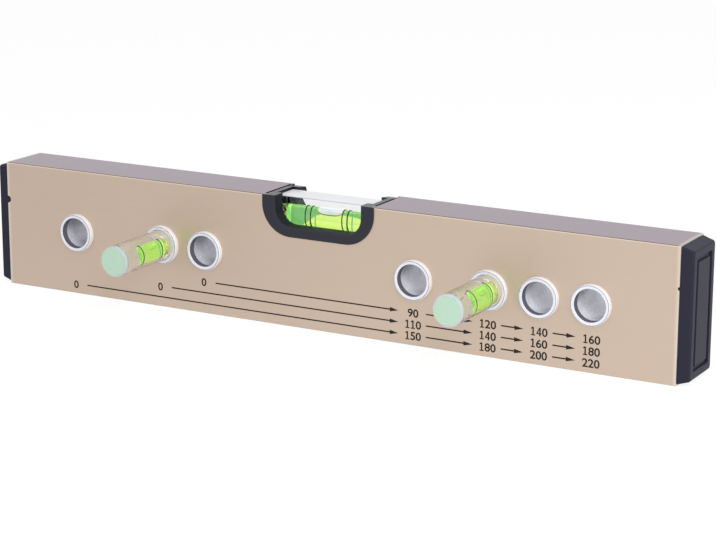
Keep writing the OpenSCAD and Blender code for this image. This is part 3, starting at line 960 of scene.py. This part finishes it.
def clear_rod(side):
    """Clear rod with rounded ends, a seat for each plug, a frosted front rim and a pale tail."""
    radius, length, front = round_node(f"pin_{side}_rod")
    front_radius, front_depth = round_node(f"pin_{side}_front_plug")[:2]
    rear_radius, rear_depth = round_node(f"pin_{side}_rear_plug")[:2]
    tail_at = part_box("sleeve_1")[0].y - front.y
    seat_radius = rear_radius - PLUG_LAP
    seat_floor = length - rear_depth + PLUG_LAP
    outline = [(0.0, front_depth), (front_radius, front_depth), (front_radius, 0.0)]
    outline += arc((radius - ROD_EDGE, ROD_EDGE), ROD_EDGE, -90, 0, CORNER_STEPS)
    outline += [(radius, FRONT_RIM), (radius, tail_at)]
    outline += arc((radius - ROD_EDGE, length - ROD_EDGE), ROD_EDGE, 0, 90, CORNER_STEPS)
    outline += [(seat_radius, length), (seat_radius, seat_floor), (0.0, seat_floor)]
    shape = bmesh.new()
    lathe(shape, outline, front, (0, 1, 0))
    piece = place(f"rod_{side}", shape, f"pin_{side}", ROD, "clear_acrylic", f"pin_{side}_rod")
    piece.data.materials.append(RIM_FROST)
    piece.data.materials.append(TAIL_PLASTIC)
    for face in piece.data.polygons:
        spoke = face.center - front
        outside = math.hypot(spoke.x, spoke.z) > front_radius
        if spoke.y < FRONT_RIM and outside:
            face.material_index = 1
        elif spoke.y > tail_at and outside:
            face.material_index = 2
    even_normals(piece)


def front_plug(side):
    """Mint plug with a softened front edge."""
    radius, depth, front = round_node(f"pin_{side}_front_plug")
    rim = radius + PLUG_LAP
    floor_at = depth + PLUG_LAP
    outline = [(0.0, 0.0)] + arc((rim - PLUG_EDGE, PLUG_EDGE), PLUG_EDGE, -90, 0, CORNER_STEPS)
    outline += [(rim, floor_at), (0.0, floor_at)]
    shape = bmesh.new()
    lathe(shape, outline, front, (0, 1, 0))
    piece = place(
        f"front_{side}", shape, f"pin_{side}", MINT, "pin_front", f"pin_{side}_front_plug",
    )
    even_normals(piece)


for side in PIN_SIDES:
    pin = f"pin_{side}"
    small_bore = round_node(f"{pin}_liquid")[0]
    clear_rod(side)
    front_plug(side)
    liquid(f"liquid_{side}", f"{pin}_liquid", pin, (0, 1, 0), small_bore, SMALL_ARC, SMALL_LIQUID)
    bubble(
        f"bubble_{side}", f"{pin}_bubble", f"{pin}_liquid", f"{pin}_bubble", (0, 1, 0),
        small_bore - SMALL_BUBBLE_GAP, SMALL_BUBBLE_DEPTH, AIR,
    )


# Printed scale

DIGIT_HEIGHT = 3.15 * MM
DIGIT_STEP = 2.26 * MM
DIGIT_WIDTH = 1.06
DIGIT_WEIGHT = 0.02
ONE_STEM = 0.28 * MM
ONE_FOOT = 0.82 * MM
ONE_STROKE = 0.42 * MM
ONE_FLAG = 0.63 * MM
FOUR_STEM = 0.12 * MM
FOUR_HALF = 0.96 * MM
FOUR_BAR = 0.7 * MM
FOUR_SLANT = 0.56 * MM
FOUR_TIP = 0.85 * MM
LINE_HALF = 0.26 * MM
LINE_RISE = 0.25 * MM
HEAD_LENGTH = 3.6 * MM
HEAD_HALF = 0.85 * MM
INK_PROUD = 0.015 * MM
INK_SUNK = 0.01 * MM
GAP_AFTER = 5.3 * MM
GAP_BEFORE = 6.0 * MM
PRINT_STRETCH = 1.0075
PRINT_SHIFT = -0.6 * MM

# Each row's name, its height on the face, the hole it starts from and its numbers under later holes
ROWS = (
    ("row_1", 12.35 * MM, 3, {4: "90", 5: "120", 6: "140", 7: "160"}),
    ("row_2", 8.0 * MM, 2, {4: "110", 5: "140", 6: "160", 7: "180"}),
    ("row_3", 3.68 * MM, 1, {4: "150", 5: "180", 6: "200", 7: "220"}),
)


def print_x(hole):
    """Place of a hole's numbers along the level."""
    low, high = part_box(f"sleeve_{hole}")
    return (low.x + high.x) / 2 * PRINT_STRETCH + PRINT_SHIFT


def ink_shape(shape, outline):
    """A flat inked shape on the front face."""
    skin(shape, [
        [Vector((x, y, z)) for x, z in outline] for y in (front_y - INK_PROUD, front_y + INK_SUNK)
    ])


def ink_one(shape, x, z):
    """A figure one with a flag and a foot."""
    low = z - DIGIT_HEIGHT / 2
    high = z + DIGIT_HEIGHT / 2
    flag = high - ONE_FLAG
    ink_shape(shape, [
        (x - ONE_FOOT, low), (x + ONE_FOOT, low), (x + ONE_FOOT, low + ONE_STROKE),
        (x + ONE_STEM, low + ONE_STROKE), (x + ONE_STEM, high), (x - ONE_STEM, high),
        (x - ONE_FOOT, flag + ONE_STROKE / 2), (x - ONE_FOOT, flag - ONE_STROKE / 2),
        (x - ONE_STEM, flag), (x - ONE_STEM, low + ONE_STROKE), (x - ONE_FOOT, low + ONE_STROKE),
    ])


def ink_four(shape, x, z):
    """A figure four of three strokes, with an open middle."""
    low = z - DIGIT_HEIGHT / 2
    high = z + DIGIT_HEIGHT / 2
    left = x - FOUR_HALF
    right = x + FOUR_HALF
    stem_left = x + FOUR_STEM
    stem_right = stem_left + 2 * ONE_STEM
    bar_low = low + FOUR_BAR
    bar_high = bar_low + ONE_STROKE
    ink_shape(shape, [(stem_left, low), (stem_right, low), (stem_right, high), (stem_left, high)])
    ink_shape(shape, [(left, bar_low), (right, bar_low), (right, bar_high), (left, bar_high)])
    ink_shape(shape, [
        (left, bar_high), (left + FOUR_SLANT, bar_high), (stem_left, high - FOUR_TIP), (stem_left, high),
    ])


def ink_digit(shape, text, x, z):
    """A figure from the built-in font, set by its middle."""
    curve = bpy.data.curves.new("digit", "FONT")
    curve.body = text
    curve.offset = DIGIT_WEIGHT
    curve.extrude = (INK_PROUD + INK_SUNK) / 2 / DIGIT_HEIGHT
    holder = add_object("digit", curve)
    bpy.context.view_layer.update()
    worked_out = bpy.context.evaluated_depsgraph_get()
    drawn = bpy.data.meshes.new_from_object(holder.evaluated_get(worked_out))
    corners = [vertex.co for vertex in drawn.vertices]
    left = min(point.x for point in corners)
    right = max(point.x for point in corners)
    bottom = min(point.y for point in corners)
    top = max(point.y for point in corners)
    size = DIGIT_HEIGHT / (top - bottom)
    centre = Matrix.Translation((-(left + right) / 2, -(bottom + top) / 2, 0))
    scale = Matrix.Diagonal((size * DIGIT_WIDTH, size, size, 1))
    upright = Matrix.Rotation(math.pi / 2, 4, "X")
    spot = Matrix.Translation((x, front_y - (INK_PROUD - INK_SUNK) / 2, z))
    drawn.transform(spot @ upright @ scale @ centre)
    shape.from_mesh(drawn)
    bpy.data.objects.remove(holder)
    bpy.data.curves.remove(curve)
    bpy.data.meshes.remove(drawn)


def ink_number(shape, text, x, z):
    """A number in even steps, set by its middle."""
    for place_in_number, digit in enumerate(text):
        at = x + DIGIT_STEP * (place_in_number - (len(text) - 1) / 2)
        if digit == "1":
            ink_one(shape, at, z)
        elif digit == "4":
            ink_four(shape, at, z)
        else:
            ink_digit(shape, digit, at, z)


def ink_arrow(shape, start, tip, z):
    """A line that ends in a slim solid head."""
    neck = tip - HEAD_LENGTH
    ink_shape(shape, [
        (start, z - LINE_HALF), (neck, z - LINE_HALF), (neck, z - HEAD_HALF), (tip, z),
        (neck, z + HEAD_HALF), (neck, z + LINE_HALF), (start, z + LINE_HALF),
    ])


def printed_row(name, z, start, numbers):
    """One row of the scale: a nought under its start, then arrows from number to number."""
    shape = bmesh.new()
    before = print_x(start)
    ink_number(shape, "0", before, z)
    for hole, text in numbers.items():
        here = print_x(hole)
        ink_arrow(shape, before + GAP_AFTER, here - GAP_BEFORE, z + LINE_RISE)
        ink_number(shape, text, here, z)
        before = here
    place(f"scale_{name}", shape, "level", INK, "marking_black")


for row in ROWS:
    printed_row(*row)


# Stage

AMBIENT = 0.6
FLOOR_HALF = 2.0
FLOOR_DROP = 0.05 * MM
FLOOR_SHADOW = 0.15
FLOOR_WHITE = 1.05
SOFT_BOX_SPOT = Vector((0.62, -0.62, 0.62))
SOFT_BOX_AIM = Vector((0.08, 0, 0.03))
SOFT_BOX_SIZE = 0.5
SOFT_BOX_POWER = 8.4
CAMERA_SPOT = Vector((404.07, -704.94, 227.84)) * MM
CAMERA_AZIMUTH = math.radians(29.108)
CAMERA_TILT = math.radians(14.279)
CAMERA_ROLL = math.radians(0.156)
CAMERA_REACH = (0.01, 20)
FOCAL_PIXELS = 2226.64
IMAGE_WIDTH = 716

# The floor's brightness in gloss and through clear pieces, from a place on its left to one on its right
POOL_REACH = (-0.3, 0.2)
POOL_LEVEL = (0.78, 1.12)


def backdrop_share(tree):
    """1 for the rays that see the backdrop: from the camera, off gloss or through clear pieces."""
    path = add(tree, "LightPath").outputs
    seen = math_node(tree, "MAXIMUM", path["Is Camera Ray"], path["Is Glossy Ray"])
    return math_node(tree, "MAXIMUM", seen, path["Is Transmission Ray"])


def world():
    """White all round to look at, and a softer even light."""
    made = bpy.data.worlds.new("studio")
    bpy.context.scene.world = made
    made.use_nodes = True
    tree = made.node_tree
    tree.nodes.clear()
    light = add(tree, "Background", {"Color": PLAIN_WHITE, "Strength": AMBIENT})
    white = add(tree, "Background", {"Color": PLAIN_WHITE, "Strength": 1.0})
    mixed = add(tree, "MixShader", {0: backdrop_share(tree), 1: light.outputs[0], 2: white.outputs[0]})
    output = add(tree, "OutputWorld")
    feed(tree, mixed.outputs[0], output.inputs["Surface"])


def floor():
    """Pale floor that looks white and keeps a faint shadow."""
    shape = bmesh.new()
    corners = [(-1, -1), (1, -1), (1, 1), (-1, 1)]
    shape.faces.new([shape.verts.new((x * FLOOR_HALF, y * FLOOR_HALF, -FLOOR_DROP)) for x, y in corners])
    mesh = bpy.data.meshes.new("floor")
    shape.to_mesh(mesh)
    shape.free()
    sheet = add_object("floor", mesh)
    material, tree, shader = new_material(
        "floor", Base_Color=(0.9, 0.9, 0.9, 1.0), Roughness=0.9, Specular_IOR_Level=0.0,
    )
    spot = add(tree, "SeparateXYZ", {0: add(tree, "TexCoord").outputs["Object"]}).outputs
    pool = ramp(tree, spot["X"], *POOL_REACH, *POOL_LEVEL)
    seen = add(tree, "LightPath").outputs["Is Camera Ray"]
    level = add(tree, "Mix", {0: seen, 2: pool, 3: FLOOR_WHITE}, data_type="FLOAT").outputs[0]
    white = add(tree, "Emission", {"Color": PLAIN_WHITE, "Strength": level})
    share = math_node(tree, "MULTIPLY", backdrop_share(tree), 1 - FLOOR_SHADOW)
    mixed = add(tree, "MixShader", {0: share, 1: shader.outputs[0], 2: white.outputs[0]})
    feed(tree, mixed.outputs[0], tree.nodes["Material Output"].inputs["Surface"])
    mesh.materials.append(material)


def soft_box():
    """A square soft light that leaves no glare on the gloss."""
    lamp = bpy.data.lights.new("key", "AREA")
    lamp.size = SOFT_BOX_SIZE
    lamp.energy = SOFT_BOX_POWER
    holder = add_object("key", lamp)
    holder.location = SOFT_BOX_SPOT
    holder.visible_glossy = False
    holder.rotation_euler = (SOFT_BOX_AIM - SOFT_BOX_SPOT).to_track_quat("-Z", "Y").to_euler()


def camera():
    """Camera at the photograph's place."""
    lens = bpy.data.cameras.new("camera")
    lens.lens = FOCAL_PIXELS / IMAGE_WIDTH * lens.sensor_width
    lens.clip_start, lens.clip_end = CAMERA_REACH
    holder = add_object("camera", lens)
    turn = Matrix.Rotation(CAMERA_AZIMUTH, 4, "Z")
    tilt = Matrix.Rotation(math.pi / 2 - CAMERA_TILT, 4, "X")
    roll = Matrix.Rotation(CAMERA_ROLL, 4, "Z")
    holder.matrix_world = Matrix.Translation(CAMERA_SPOT) @ turn @ tilt @ roll
    bpy.context.scene.camera = holder


world()
floor()
soft_box()
camera()
bpy.context.scene.view_settings.view_transform = "Standard"
